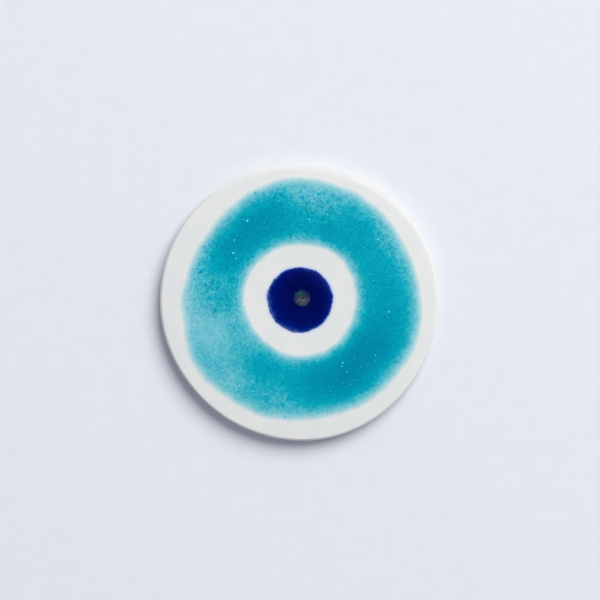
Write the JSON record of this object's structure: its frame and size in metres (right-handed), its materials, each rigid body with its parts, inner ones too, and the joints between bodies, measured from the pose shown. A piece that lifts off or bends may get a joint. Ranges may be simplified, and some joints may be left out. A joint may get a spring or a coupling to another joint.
{
  "type": "evil eye ornament",
  "caption": "Flat round glazed ceramic evil eye with a turquoise ring, a cobalt centre, and a magnet in its back to hold it on steel.",
  "frame": {"origin": "centre of the plane the ornament rests on, which is the magnet's contact face, bottom centre of its box", "axes": "+Z out of the painted face, along the disc's axis; +Y towards the top of the eye as it is looked at"},
  "size_m": [0.08, 0.08, 0.0057],
  "materials": {
    "bisque_clay": "matte",
    "white_glaze": "satin",
    "turquoise_glaze": "satin",
    "cobalt_glaze": "satin",
    "pupil_glaze": "satin",
    "nickel_plate": "satin",
    "adhesive": "gloss"
  },
  "bodies": {
    "root": {"clay_disc": "bisque_clay", "white_glaze": "white_glaze", "turquoise_glaze": "turquoise_glaze", "cobalt_glaze": "cobalt_glaze", "pupil_drop": "pupil_glaze", "magnet": "nickel_plate", "magnet_adhesive": "adhesive"}
  },
  "joints": []
}
